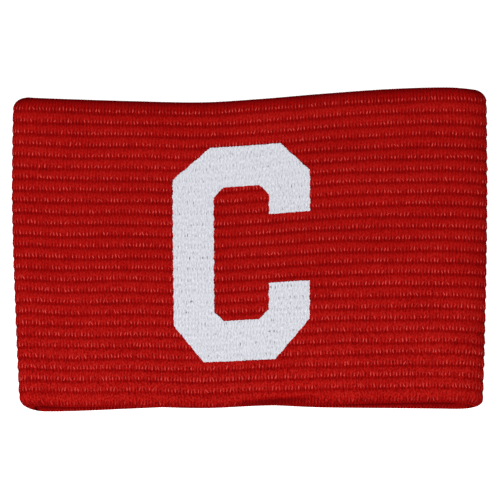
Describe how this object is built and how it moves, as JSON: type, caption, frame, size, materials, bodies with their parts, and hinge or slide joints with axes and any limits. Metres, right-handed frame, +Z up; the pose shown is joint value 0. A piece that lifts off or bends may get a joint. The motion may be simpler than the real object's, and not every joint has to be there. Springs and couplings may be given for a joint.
{
  "type": "captain armband",
  "caption": "Ribbed elastic armband lying flat as a folded loop, open through its width for an upper arm, sewn at the back and printed with a block letter on the front.",
  "frame": {"origin": "on the surface that the armband lies on, under the middle of its outline", "axes": "+X along the flat loop from its left fold to its right fold as the letter is read, +Y across the webbing towards the top of the letter, +Z up, out of the printed front"},
  "size_m": [0.156, 0.1064, 0.0118],
  "materials": {
    "elastic_webbing": "red ribbed polyester elastic, matt with a slight sheen along the ribs",
    "letter_print": "white matt print that follows the ribs"
  },
  "bodies": {
    "root": {"elastic_band": "elastic_webbing", "letter_c": "letter_print"}
  },
  "joints": []
}
